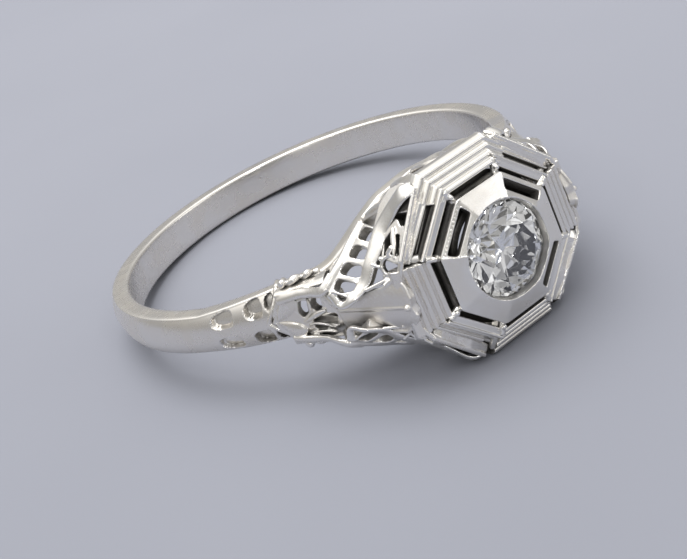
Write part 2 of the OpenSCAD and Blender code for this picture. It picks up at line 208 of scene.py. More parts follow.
class Cast:
    """Closed solids in millimetres that become one mesh."""

    def __init__(self):
        self.verts, self.faces = [], []

    def add(self, verts, faces):
        base = len(self.verts)
        self.verts += [Vector(v) for v in verts]
        self.faces += [tuple(base + i for i in face) for face in faces]

    def loft(self, rings, closed=False):
        """Skins rings of equal count, with flat caps unless it closes on itself."""
        n, m = len(rings[0]), len(rings)
        faces = []
        for i in range(m if closed else m - 1):
            j = (i + 1) % m
            for k in range(n):
                near = (k + 1) % n
                faces.append((i * n + k, i * n + near, j * n + near, j * n + k))
        if not closed:
            faces += [tuple(reversed(range(n))), tuple(range((m - 1) * n, m * n))]
        self.add([p for ring in rings for p in ring], faces)

    def ribbon(self, path, half_width, half_thick, up, sides=12):
        """A bar with an oval section; its sizes are numbers or functions of 0 to 1."""
        rings = []
        for i, p in enumerate(path):
            t = i / (len(path) - 1)
            ahead = (path[min(i + 1, len(path) - 1)] - path[max(i - 1, 0)]).normalized()
            side = ahead.cross(up).normalized()
            rise = side.cross(ahead)
            w = half_width(t) if callable(half_width) else half_width
            h = half_thick(t) if callable(half_thick) else half_thick
            rings.append([p + side * (w * cos(2 * pi * k / sides)) + rise * (h * sin(2 * pi * k / sides))
                          for k in range(sides)])
        self.loft(rings)

    def wire(self, start, end, radius, sides=10):
        ahead = end - start
        up = Vector((0, 0, 1)) if abs(ahead.normalized().z) < 0.9 else Vector((0, 1, 0))
        self.ribbon([mix(start, end, t / 6) for t in range(7)], radius, radius, up, sides)

    def leaf(self, path, half_width, half_thick, up):
        """A pointed leaf along a path."""
        swell = lambda t: max(0.12, sin(pi * (0.12 + 0.88 * t)) ** 0.8)
        self.ribbon(path, lambda t: half_width * swell(t), lambda t: half_thick * swell(t) ** 0.5, up)

    def bead(self, centre, radius, sides=14):
        rings = []
        for i in range(1, sides // 2):
            a = pi * i / (sides // 2)
            rings.append([centre + radius * Vector((cos(a), sin(a) * cos(2 * pi * k / sides),
                                                    sin(a) * sin(2 * pi * k / sides)))
                          for k in range(sides)])
        self.loft(rings)

    def hoop(self, centre, facing, radius, thick, sides=32, rim=10):
        """A round wire bent into a ring."""
        side = facing.cross(Vector((0, 0, 1))).normalized()
        up = side.cross(facing)
        rings = []
        for i in range(sides):
            a = 2 * pi * i / sides
            out = side * cos(a) + up * sin(a)
            rings.append([centre + out * (radius + thick * cos(2 * pi * k / rim))
                          + facing * (thick * sin(2 * pi * k / rim)) for k in range(rim)])
        self.loft(rings, closed=True)

    def sheet(self, outline, holes, place, thick=SHEET, pitch=0.2):
        """A pierced sheet, cut out flat and laid on place(u, v), with thick below it."""
        points, edges = [], []
        for loop in [outline] + list(holes):
            base = len(points)
            points += [Vector(p[:2]) for p in loop]
            edges += [(base + i, base + (i + 1) % len(loop)) for i in range(len(loop))]
        lines = np.array([[*points[a], *points[b]] for a, b in edges])
        low = [min(p[i] for p in outline) for i in (0, 1)]
        high = [max(p[i] for p in outline) for i in (0, 1)]
        for i in range(1, int((high[0] - low[0]) / pitch) + 1):
            for j in range(1, int((high[1] - low[1]) / pitch) + 1):
                points.append(Vector((low[0] + i * pitch, low[1] + j * pitch)))
        flat, _, triangles = delaunay_2d_cdt(points, edges, [], 0, 1e-6)[:3]

        def solid(triangle):
            x = sum(flat[i].x for i in triangle) / 3
            y = sum(flat[i].y for i in triangle) / 3
            spans = (lines[:, 1] > y) != (lines[:, 3] > y)
            rows = lines[spans]
            cross = rows[:, 0] + (y - rows[:, 1]) / (rows[:, 3] - rows[:, 1]) * (rows[:, 2] - rows[:, 0])
            return int((cross > x).sum()) % 2 == 1

        kept = [tuple(t) for t in triangles if solid(t)]
        middle = place(sum(p[0] for p in outline) / len(outline),
                       sum(p[1] for p in outline) / len(outline))
        top, bottom, step = [], [], 1e-3
        for p in flat:
            at = place(p.x, p.y)
            n = (place(p.x + step, p.y) - at).cross(place(p.x, p.y + step) - at).normalized()
            top.append(at)
            bottom.append(at - n * thick)
        if (bottom[0] - top[0]).dot(middle - HEAD_CORE) > 0:
            bottom = [2 * a - b for a, b in zip(top, bottom)]
        n = len(flat)
        seen = {}
        for t in kept:
            for a, b in zip(t, t[1:] + t[:1]):
                seen[(a, b)] = (b, a)
        walls = [(b, a, a + n, b + n) for (a, b), back in seen.items() if back not in seen]
        self.add(top + bottom, kept + [tuple(i + n for i in reversed(t)) for t in kept] + walls)


def to_mesh(verts, faces, name):
    mesh = bpy.data.meshes.new(name)
    mesh.from_pydata([tuple(v) for v in verts], [], faces)
    bm = bmesh.new()
    bm.from_mesh(mesh)
    bmesh.ops.remove_doubles(bm, verts=bm.verts, dist=1e-6)
    bmesh.ops.recalc_face_normals(bm, faces=bm.faces)
    bm.to_mesh(mesh)
    bm.free()
    return mesh


def fuse(cast, voxel, rounds):
    """Fuses a casting's solids and softens its edges, as casting and wear do."""
    raw = bpy.data.objects.new("raw", to_mesh(cast.verts, cast.faces, "raw"))
    bpy.context.collection.objects.link(raw)
    remesh = raw.modifiers.new("fuse", "REMESH")
    remesh.mode, remesh.voxel_size = "VOXEL", voxel
    soften = raw.modifiers.new("soften", "SMOOTH")
    soften.factor, soften.iterations = 0.5, rounds
    made = bpy.data.meshes.new_from_object(
        raw.evaluated_get(bpy.context.evaluated_depsgraph_get()))
    bpy.data.objects.remove(raw)
    return made


def piece(name, mesh, material, nodes, flip=(1, 1, 1), crisp=None):
    """Places a millimetre mesh as a named piece that stands for CAD nodes."""
    made = mesh.copy()
    made.name = name
    made.transform(Matrix.Diagonal((MM * flip[0], MM * flip[1], MM * flip[2], 1)))
    if flip[0] * flip[1] * flip[2] < 0:
        made.flip_normals()
    made.shade_smooth()
    if crisp:
        made.set_sharp_from_angle(angle=radians(crisp))
    made.materials.clear()
    made.materials.append(material)
    obj = bpy.data.objects.new(name, made)
    bpy.context.collection.objects.link(obj)
    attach(obj, "root")
    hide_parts(*nodes)
    return obj


FAR_SIGNS = {"near": 1, "far": -1}
LEVEL_SIGNS = {"upper": 1, "lower": -1}


def four_ways(kind, mesh, material):
    """The near upper piece and its three mirror images."""
    for side, y in FAR_SIGNS.items():
        for level, z in LEVEL_SIGNS.items():
            piece(f"{kind}_{side}_{level}_cast", mesh, material,
                  [f"{kind}_{side}_{level}"], (1, y, z))


def two_sides(kind, mesh, material):
    for side, y in FAR_SIGNS.items():
        piece(f"{kind}_{side}_cast", mesh, material, [f"{kind}_{side}"], (1, y, 1))


def two_levels(kind, mesh, material):
    for level, z in LEVEL_SIGNS.items():
        piece(f"{kind}_{level}_cast", mesh, material, [f"{kind}_{level}"], (1, 1, z))


# --- materials ---

class Nodes:
    """Short names for building one material's node tree."""

    def __init__(self, name):
        self.material = bpy.data.materials.new(name)
        self.material.use_nodes = True
        self.tree = self.material.node_tree
        self.shader = self.tree.nodes["Principled BSDF"]

    def add(self, kind, **values):
        node = self.tree.nodes.new(kind)
        for key, value in values.items():
            if hasattr(node, key):
                setattr(node, key, value)
            else:
                node.inputs[key.replace("_", " ")].default_value = value
        return node

    def link(self, source, target):
        self.tree.links.new(source, target)

    def noise(self, scale, detail=3.0, roughness=0.55, stretch=None):
        place = self.add("ShaderNodeTexCoord").outputs["Object"]
        if stretch:
            mapping = self.add("ShaderNodeMapping")
            mapping.inputs["Scale"].default_value = stretch
            self.link(place, mapping.inputs["Vector"])
            place = mapping.outputs["Vector"]
        node = self.add("ShaderNodeTexNoise", Scale=scale, Detail=detail, Roughness=roughness)
        self.link(place, node.inputs["Vector"])
        return node.outputs["Fac"]

    def range(self, source, low, high, new_low, new_high):
        node = self.add("ShaderNodeMapRange", From_Min=low, From_Max=high,
                        To_Min=new_low, To_Max=new_high)
        self.link(source, node.inputs["Value"])
        return node.outputs["Result"]

    def math(self, operation, a, b):
        node = self.add("ShaderNodeMath", operation=operation)
        for socket, value in zip(node.inputs, (a, b)):
            if isinstance(value, (int, float)):
                socket.default_value = value
            else:
                self.link(value, socket)
        return node.outputs["Value"]

    def mixed(self, factor, a, b):
        """A mix of two colours, each a tuple or a socket; the factor is a socket."""
        node = self.add("ShaderNodeMix", data_type="RGBA")
        self.link(factor, node.inputs[0])
        for socket, value in ((node.inputs[6], a), (node.inputs[7], b)):     # the two colours
            if isinstance(value, tuple):
                socket.default_value = (*value, 1)
            else:
                self.link(value, socket)
        return node.outputs[2]


WARM_TINT = (0.97, 0.95, 0.91)            # where hands have smudged the metal
# colour of convex edges: rubbed by wear, and a painted highlight along them
EDGE_WEAR_AND_HIGHLIGHT = (0.93, 0.92, 0.90)
# dark colour of the hollows: their oxide, and painted shade where walls close in
HOLLOW_TARNISH_AND_SHADE = (0.05, 0.046, 0.04)
HOLLOW_REACH = 1.3                        # how far away a wall still shades a hollow
HOLLOW_OPEN, HOLLOW_DEEP = 0.56, 0.26     # share of open air where the dark of oxide and painted shade starts and is full


def white_gold(name, colour, roughness, tarnish_and_shade, relief, grit):
    """White gold: polish, hairlines, edges lightened by wear and a painted highlight, and dark oxide
    with painted shade in its hollows.
    """
    n = Nodes(name)
    smudge = n.noise(700, 4.0)
    hairline = n.noise(5200, 2.0, stretch=(1.0, 0.16, 0.5))
    grain = n.noise(9000, 3.0)
    point = n.add("ShaderNodeNewGeometry").outputs["Pointiness"]
    hollow = n.add("ShaderNodeAmbientOcclusion", samples=8, only_local=False,
                   Distance=HOLLOW_REACH * MM)
    # painted shade: ambient occlusion darkens, dulls and roughens the hollows, over their oxide
    depth = n.range(hollow.outputs["AO"], HOLLOW_DEEP, HOLLOW_OPEN, 1.0, 0.0)
    warm = n.mixed(n.range(smudge, 0.35, 0.65, 0.0, 1.0), colour,
                   tuple(c * f for c, f in zip(colour, WARM_TINT)))
    # convex edges lightened: wear, and a painted edge highlight
    rubbed_and_highlit = n.mixed(n.range(point, 0.5, 0.56, 0.0, 0.6), warm, EDGE_WEAR_AND_HIGHLIGHT)
    dark = n.mixed(n.math("MULTIPLY", depth, tarnish_and_shade), rubbed_and_highlit, HOLLOW_TARNISH_AND_SHADE)
    n.link(dark, n.shader.inputs["Base Color"])
    n.link(n.range(depth, 0.0, 1.0, 1.0, 0.55), n.shader.inputs["Metallic"])
    gloss = n.math("ADD", n.range(smudge, 0.3, 0.7, roughness * 0.8, roughness * 1.25),
                   n.range(hairline, 0.55, 0.75, 0.0, 0.06))
    n.link(n.math("ADD", gloss, n.math("MULTIPLY", depth, 0.4)), n.shader.inputs["Roughness"])
    height = n.math("ADD", n.math("MULTIPLY", grain, grit), n.math("MULTIPLY", hairline, 0.25))
    bump = n.add("ShaderNodeBump", Strength=relief, Distance=0.01 * MM)
    n.link(height, bump.inputs["Height"])
    n.link(bump.outputs["Normal"], n.shader.inputs["Normal"])
    return n.material


def stone_glass():
    """Colourless stone with a trace of cloud inside and clean polish outside."""
    n = Nodes("stone_clear")
    n.link(n.mixed(n.range(n.noise(900, 2.0), 0.3, 0.7, 0.0, 1.0), (1.0, 1.0, 1.0),
                   (0.96, 0.98, 1.0)), n.shader.inputs["Base Color"])
    n.shader.inputs["Transmission Weight"].default_value = 1.0
    n.shader.inputs["IOR"].default_value = 2.417
    n.link(n.range(n.noise(3000, 2.0), 0.4, 0.8, 0.0, 0.02), n.shader.inputs["Roughness"])
    return n.material


# painted light on the floor: lighter far side, shaded near side
FLOOR_PAINTED_LIT, FLOOR_PAINTED_SHADE = (0.352, 0.364, 0.418), (0.298, 0.31, 0.358)
FLOOR_SHADE_FALLOFF = Vector((0.224, -0.368, -0.924))          # the way the painted shade deepens, for the key light's falloff


def floor_with_painted_shade():
    """Pale grey-blue floor with painted shade that deepens gently towards the viewer, for the key
    light's falloff.
    """
    n = Nodes("floor_pale")
    along = n.add("ShaderNodeVectorMath", operation="DOT_PRODUCT")
    n.link(n.add("ShaderNodeTexCoord").outputs["Object"], along.inputs[0])
    along.inputs[1].default_value = FLOOR_SHADE_FALLOFF
    fall = n.math("ADD", n.range(along.outputs["Value"], -12 * MM, 18 * MM, 0.0, 0.9),
                  n.range(n.noise(60, 2.0), 0.3, 0.7, 0.0, 0.2))
    n.link(n.mixed(fall, FLOOR_PAINTED_LIT, FLOOR_PAINTED_SHADE), n.shader.inputs["Base Color"])
    n.shader.inputs["Roughness"].default_value = 0.9
    n.shader.inputs["Specular IOR Level"].default_value = 0.1
    return n.material


# name, colour, roughness, depth of oxide and painted shade in hollows, strength of relief, share of grit
# in it
POLISHED = white_gold("polished_white_gold", (0.86, 0.835, 0.80), 0.25, 0.96, 0.05, 0.15)
CAST_METAL = white_gold("cast_white_gold", (0.79, 0.765, 0.72), 0.33, 0.97, 0.4, 0.8)
BRIGHT = white_gold("bright_cut_white_gold", (0.89, 0.875, 0.85), 0.22, 0.96, 0.15, 0.15)
SATIN = white_gold("satin_white_gold", (0.80, 0.775, 0.745), 0.38, 0.9, 0.12, 0.15)
# near-black metal: oxide, and painted shade where the collet backs the slots
TARNISHED_AND_SHADED = white_gold("tarnished_white_gold", (0.16, 0.15, 0.13), 0.5, 0.97, 0.8, 1.5)
STONE = stone_glass()


# --- band ---

def band_half(x):
    """Half width of the band, which narrows from the collars to its back."""
    neck_x = CROWN_R * cos(radians(COLLAR_ANGLE)) + 0.2
    return between([(4.2, BACK_HALF), (neck_x, NECK_HALF)], x)


def band_section(half, inner_r, side_r, rise, across=44):
    """Half-round section as (radius, z) pairs, with its four edges rounded, as wear leaves them."""
    dome = (NECK_HALF ** 2 + rise ** 2) / (2 * rise)
    top = lambda z: side_r + rise - dome + sqrt(max(0.0, dome * dome - z * z))
    edge, soft = 0.09, 0.06
    out = []
    for i in range(across + 1):
        z = mix(-half + edge, half - edge, i / across)
        out.append((inner_r + 0.03 * (z / half) ** 4, z))
    out += [(inner_r + 0.045, half - 0.03), (inner_r + edge, half)]
    corner = top(half - soft)
    out += [(mix(inner_r + edge, corner - soft, t / 4), half) for t in range(1, 5)]
    out.append((corner - soft * 0.25, half - soft * 0.3))
    for i in range(across + 1):
        z = mix(half - soft, -half + soft, i / across)
        out.append((top(z), z))
    out.append((corner - soft * 0.25, -half + soft * 0.3))
    out += [(mix(corner - soft, inner_r + edge, t / 4), -half) for t in range(4)]
    out += [(inner_r + edge, -half), (inner_r + 0.045, -half + 0.03)]
    return out


# Carved recesses in the band's flanks: angle, half length in degrees, half width, depth
RECESSES = [(43.4, 1.3, 0.32, 0.3), (47.9, 2.4, 0.34, 0.4), (56.6, 3.2, 0.3, 0.26)]


def recess_depth(angle, z, half):
    depth = 0.0
    for at, length, width, deep in RECESSES:
        along = (angle - at) / length
        taper = 1 - 0.2 * max(-1.0, min(1.0, along))
        off = (abs(z) - (half - 0.4)) / (width * taper)
        reach = (abs(along) ** 3 + abs(off) ** 3) ** (1 / 3)
        depth = max(depth, deep * (1 - smoothstep(0.78, 1.0, reach)))
    return depth


def make_shank():
    start, end = COLLAR_ANGLE + 1.0, 359.0 - COLLAR_ANGLE
    angles, angle = [], start
    while angle < end:
        angles.append(angle)
        carved = min(angle, 360 - angle) < 64
        angle += 0.2 if carved else 1.0
    angles.append(end)
    rings = []
    for angle in angles:
        folded = min(angle, 360 - angle)
        half = band_half(CROWN_R * cos(radians(angle)))
        ring = []
        for r, z in band_section(half, BORE_R, SIDE_R, DOME_RISE):
            lift = (r - BORE_R) / (SIDE_R + DOME_RISE - BORE_R)
            ring.append(on_circle(r - recess_depth(folded, z, half) * lift, angle, z))
        rings.append(ring)
    cast = Cast()
    cast.loft(rings)
    return to_mesh(cast.verts, cast.faces, "shank")


def make_collar():
    """A knuckle that points back along the band, with a groove behind its bead."""
    half_arc, point = 1.6, 3.6
    steps = 26
    rings = []
    for i in range(steps + 1):
        t = i / steps
        swell = abs(sin(2 * pi * t)) ** 0.6 if 0 < t < 1 else 0.0
        grow = 0.2 * (0.15 + 0.85 * swell)
        ring = []
        for r, z in band_section(NECK_HALF + grow / 2, BORE_R, SIDE_R + grow, DOME_RISE):
            lift = max(0.0, r - SIDE_R + 0.3) / (DOME_RISE + 0.3)
            angle = COLLAR_ANGLE + half_arc * (2 * t - 1) + point * lift * (1 - abs(z) / NECK_HALF)
            ring.append(on_circle(r, angle, z))
        rings.append(ring)
    cast = Cast()
    cast.loft(rings)
    return to_mesh(cast.verts, cast.faces, "collar")


# --- finger rail ---

RAIL_EDGE = [(0, RAIL_HALF), (1.6, RAIL_HALF - 0.2), (2.65, 2.2), (3.3, 1.8),
             (3.85, 1.45), (4.4, 1.15), (5.7, NECK_HALF)]


def rail_edge(y):
    return between(RAIL_EDGE, abs(y))


def make_rail():
    """One side strip against the finger, with rounded edges."""
    reach = COLLAR_ANGLE - 1.2
    steps = 150
    rings = []
    for i in range(steps + 1):
        angle = mix(-reach, reach, i / steps)
        y = RAIL_R * sin(radians(angle))
        outer = sum(rail_edge(y + d) for d in (-0.3, -0.1, 0.1, 0.3)) / 4
        ring = []
        for r, z in oval((BORE_R + RAIL_R) / 2, outer - RAIL_STRIP / 2,
                         (RAIL_R - BORE_R) / 2, RAIL_STRIP / 2, power=5.0, count=32):
            ring.append(on_circle(r, angle, z))
        rings.append(ring)
    cast = Cast()
    cast.loft(rings)
    return to_mesh(cast.verts, cast.faces, "rail")


def make_rail_leaves():
    """Small scrolls that lap over the rail's edge beside each collar."""
    cast = Cast()
    for side in (1, -1):
        for level in (1, -1):
            for base, tip, width in ((39.2, 37.2, 0.14), (37.6, 33.4, 0.2), (33.8, 30.6, 0.15)):
                path = spline([on_circle(RAIL_R + 0.1, side * base, level * 1.1),
                               on_circle(RAIL_R + 0.25, side * mix(base, tip, 0.5), level * 1.34),
                               on_circle(RAIL_R + 0.1, side * tip, level * 1.3)], 11)
                cast.leaf(path, width, 0.16, Vector((0, 0, level)))
            under = [on_circle(RAIL_R - 0.1, side * mix(39.5, 29.5, t / 12), level * 1.12)
                     for t in range(13)]
            cast.ribbon(under, 0.12, 0.16, Vector((0, 0, level)))
    return fuse(cast, 0.03, 3)


# --- side galleries ---

def make_gallery():
    """Pierced wall from the rail up to a side step plate, bowed round the corners."""
    top_z = [(0, SIDE_EDGE - 0.1), (1.5, SIDE_EDGE - 0.12), (2.1, 3.5), (2.6, 3.1)]
    top_x = [(0, SIDE_LOW.x + 0.25), (1.6, SIDE_LOW.x + 0.2), (2.6, 11.5)]

    def place(y, t):
        foot = Vector((sqrt(RAIL_R ** 2 - y * y) - 0.15, y, rail_edge(y) - 0.08))
        head = Vector((between(top_x, abs(y)), y * 0.98, between(top_z, abs(y))))
        bow = 0.12 * sin(pi * t)
        return mix(foot, head, t) + Vector((0, 0, bow))

    # t runs from 0 at the rail to 1 at the step plate
    outline = [(-2.55, -0.02), (2.55, -0.02), (2.6, 1.02), (-2.6, 1.02)]
    holes = []
    for s in (1, -1):
        holes.append(oval(s * 1.86, 0.42, 0.34, 0.27, power=2.4))
        holes.append(rounded([(s * 0.22, 0.2), (s * 0.72, 0.16), (s * 1.2, 0.36), (s * 1.12, 0.62),
                              (s * 0.62, 0.82), (s * 0.4, 0.56)], 0.14))
    cast = Cast()
    cast.sheet(outline, holes, place, thick=0.45, pitch=0.13)
    out = Vector((0, 0, 1))
    for s in (1, -1):
        petal = [place(s * y, t) for y, t in ((0.12, 0.12), (0.3, 0.4), (0.42, 0.66), (0.1, 0.95))]
        cast.leaf(spline(petal, 14), 0.16, 0.12, out)
        curl = [place(s * y, t) for y, t in ((1.32, 0.95), (1.38, 0.6), (1.3, 0.3), (1.1, 0.08))]
        cast.leaf(spline(curl, 14), 0.15, 0.12, out)
        rim = [place(s * y, t) for y, t in ((2.42, 0.1), (2.4, 0.45), (2.35, 0.9))]
        cast.leaf(spline(rim, 12), 0.14, 0.1, out)
    cast.ribbon([place(mix(-2.5, 2.5, i / 30), 0.03) for i in range(31)], 0.09, 0.12, out)
    return fuse(cast, 0.035, 3)


# --- shoulders ---

FOOT_END = on_circle(10.55, 32.5, 1.0)    # where a ladder's foot runs into the spray


def make_ladder():
    """Four windows between broad flat rungs, on posts that stand on the finger rail.

    Places on it are (s, t): s counts windows from the head, t runs from foot to top.
    """
    windows, fine = 4, 20                 # fine steps to each window
    foot_curve = spline(LADDER_FOOT, windows * fine + 1)
    top_curve = spline(LADDER_TOP, windows * fine + 1)
    centre = (LADDER_FOOT[2] + LADDER_TOP[2]) / 2
    facing = (LADDER_TOP[2] - LADDER_FOOT[2]).cross(LADDER_FOOT[3] - LADDER_FOOT[1]).normalized()
    if facing.dot(centre - HEAD_CORE) < 0:
        facing = -facing

    def along(curve, s):
        at = min(windows * fine - 0.001, max(0.0, s * fine))
        k = int(at)
        return mix(curve[k], curve[k + 1], at - k)

    def place(s, t):
        crown = 0.1 * sin(pi * min(1, max(0, t)))
        return mix(along(foot_curve, s), along(top_curve, s), t) + facing * crown

    marks = [i / 10 for i in range(windows * 10 + 1)]
    outline = [(s, -0.05) for s in marks] + [(s, 1.12) for s in reversed(marks)]
    holes = [oval(0.5, 0.5, 0.33, 0.33, power=3.0), oval(1.5, 0.5, 0.36, 0.34, power=3.6),
             oval(2.5, 0.5, 0.36, 0.34, power=3.4),
             rounded([(3.12, 0.2), (3.12, 0.84), (3.6, 0.86), (3.9, 0.66), (3.8, 0.34)], 0.14)]
    cast = Cast()
    cast.sheet(outline, holes, place, thick=0.42, pitch=0.1)
    rise = BAND_TOP + (LADDER_TOP[0] - BAND_TOP) * 0.5 + Vector((-0.08, 0.05, 0.02))
    tail = [Vector((10.25, -5.36, 0.5)), mix(LADDER_TOP[4], LADDER_FOOT[4], 0.75)]
    start = BAND_TOP + Vector((0.15, 0.4, 0.05))
    band = spline([start, BAND_TOP, rise] + LADDER_TOP + tail, 80)
    cast.ribbon(band, lambda t: mix(0.34, 0.17, smoothstep(0.3, 1.0, t)), 0.1, facing)
    cast.ribbon(spline(LADDER_FOOT + [FOOT_END], 50), 0.18, 0.11, facing)

    # the skirt under the foot, cut into arches between its posts
    def skirt(s, t):
        angle = mix(16.5, 30.0, s / windows)
        base = on_circle(RAIL_R - 0.12, angle, rail_edge(RAIL_R * sin(radians(angle))) - 0.12)
        return mix(base, along(foot_curve, s), t)

    arches = [rounded([(k + 0.2, 0.1), (k + 0.8, 0.1), (k + 0.78, 0.62), (k + 0.5, 0.82),
                       (k + 0.22, 0.62)], 0.12) for k in range(windows)]
    cast.sheet([(s, 0.0) for s in marks] + [(s, 1.0) for s in reversed(marks)],
               arches, skirt, thick=0.28, pitch=0.12)
    return fuse(cast, 0.033, 3)


def make_petals():
    """Two petals that meet as a low roof along the shoulder's ridge."""
    outwards = lambda z: Vector((0.3, -0.93, z))
    cast = Cast()
    edges = {
        1: [(-0.28, 0.3), (-0.1, 0.86), (0.33, 1.02), (0.8, 0.78), (1.39, 0.68), (1.95, 0.55),
            (2.64, 0.42), (3.1, 0.38)],
        -1: [(-0.28, 0.3), (-0.15, 0.6), (0.5, 1.1), (0.85, 1.14), (1.95, 1.05), (2.6, 0.98),
             (3.1, 0.9), (3.3, 0.55)],
    }
    for level, edge in edges.items():
        crest = Vector((12.1, -4.1, level))
        place = flat_frame(RIDGE_TOP, RIDGE_FOOT, crest)
        side = level if place(0, 1).z > 0 else -level
        rim = [(p.x, p.y * side) for p in spline([(u, v, 0) for u, v in edge], 36)]
        crown = lambda v: 0.09 * sin(pi * min(1.0, max(0.0, abs(v)))) - 0.02
        crowned = lambda u, v: place(u, v) + outwards(0.1 * level) * crown(v)
        cast.sheet([(-0.2, -0.04 * side)] + rim + [(3.3, -0.04 * side)], [], crowned,
                   thick=0.36, pitch=0.12)
        cast.ribbon([place(*p) for p in rim], 0.07, 0.06, outwards(0.2 * level))
    cast.bead(RIDGE_TOP + Vector((0.06, -0.02, 0)), 0.12)
    cast.ribbon([mix(RIDGE_TOP, RIDGE_FOOT, t / 10) for t in range(11)], 0.05, 0.04, outwards(0))
    return fuse(cast, 0.03, 3)


CORNER_A = Vector((12.1, -1.95, 3.45))
CORNER_B = Vector((12.15, -3.55, 1.75))


def make_corner():
    """Pierced wall between a diagonal tier and a ladder, with a leaf in its long slot."""
    place = flat_frame(CORNER_A, CORNER_B, Vector((10.9, -3.05, 2.5)))
    side = 1 if (place(0, 1) - CORNER_A).x < 0 else -1
    at = lambda u, v: (u, v * side)
    outline = [at(-0.1, -0.2), at(0.8, -0.34), at(1.5, -0.34), at(2.3, -0.42), at(2.62, -0.3),
               at(2.66, 0.0), at(2.6, 0.3), at(2.58, 0.62), at(2.6, 1.0), at(2.4, 1.3),
               at(1.4, 1.5), at(0.7, 1.5), at(0.1, 1.2), at(-0.2, 0.6)]
    holes = [
        rounded([at(0.82, -0.06), at(1.27, -0.22), at(1.33, 0.13), at(1.08, 0.36), at(1.14, 0.74),
                 at(0.9, 0.42)], 0.07),
        rounded([at(1.5, 0.5), at(1.95, 0.3), at(2.42, 0.14), at(2.52, 0.6), at(1.9, 0.78)], 0.08),
        rounded([at(1.62, 0.06), at(2.34, -0.14), at(2.42, 0.02), at(1.64, 0.26)], 0.05),
    ]
    cast = Cast()
    cast.sheet(outline, holes, place, thick=0.4, pitch=0.13)
    out = Vector((0.12, -0.72, 0.68))
    # the head's inner wall, seen dark behind the cuts
    wall_depth = 0.62
    behind = [at(0.5, -0.3), at(2.5, -0.3), at(2.5, 1.0), at(0.5, 1.0)]
    cast.sheet(behind, [], lambda u, v: place(u, v) - out * wall_depth, thick=0.1, pitch=0.3)
    blade = [place(*at(u, v)) + out * 0.04
             for u, v in ((1.42, 0.42), (1.75, 0.3), (2.1, 0.14), (2.5, 0.02))]
    cast.leaf(spline(blade, 14), 0.13, 0.09, out)
    crease = [place(*at(u, v)) + out * 0.03 for u, v in ((0.1, 0.55), (0.5, 0.75), (0.95, 0.85))]
    cast.leaf(spline(crease, 12), 0.14, 0.08, out)
    rim = [place(*at(mix(-0.05, 2.6, i / 14), mix(-0.2, -0.38, i / 14))) + out * 0.04
           for i in range(15)]
    cast.ribbon(rim, 0.1, 0.1, out)
    cast.wire(place(*at(2.6, -0.35)), Vector((12.4, -3.93, 1.05)), 0.11)
    return fuse(cast, 0.03, 3)


def make_eyelet():
    """A ring with four beads, held by lattice wires."""
    facing = Vector((0.5, -0.8, 0.33)).normalized()
    side = facing.cross(Vector((0, 0, 1))).normalized()
    up = side.cross(facing)
    outer, wire = 0.42, 0.075
    cast = Cast()
    for depth in (0.0, -0.07, -0.14):
        cast.hoop(EYELET_AT + facing * depth, facing, outer - wire, wire)
    for quarter in range(4):
        a = pi / 4 + quarter * pi / 2
        cast.bead(EYELET_AT + (side * cos(a) + up * sin(a)) * (outer + 0.03), 0.085)
    away = side if side.x < 0 else -side
    low = EYELET_AT - up * outer
    cast.wire(low, Vector((11.75, -4.28, 0.85)), 0.07)
    cast.wire(low + away * 0.15, Vector((11.1, -4.68, 0.8)), 0.075)
    cast.wire(EYELET_AT + away * outer * 0.9, LADDER_TOP[2] + Vector((0.15, 0, 0.05)), 0.07)
    cast.wire(EYELET_AT + up * outer, Vector((12.0, -3.5, 2.0)), 0.1)
    return fuse(cast, 0.025, 2)


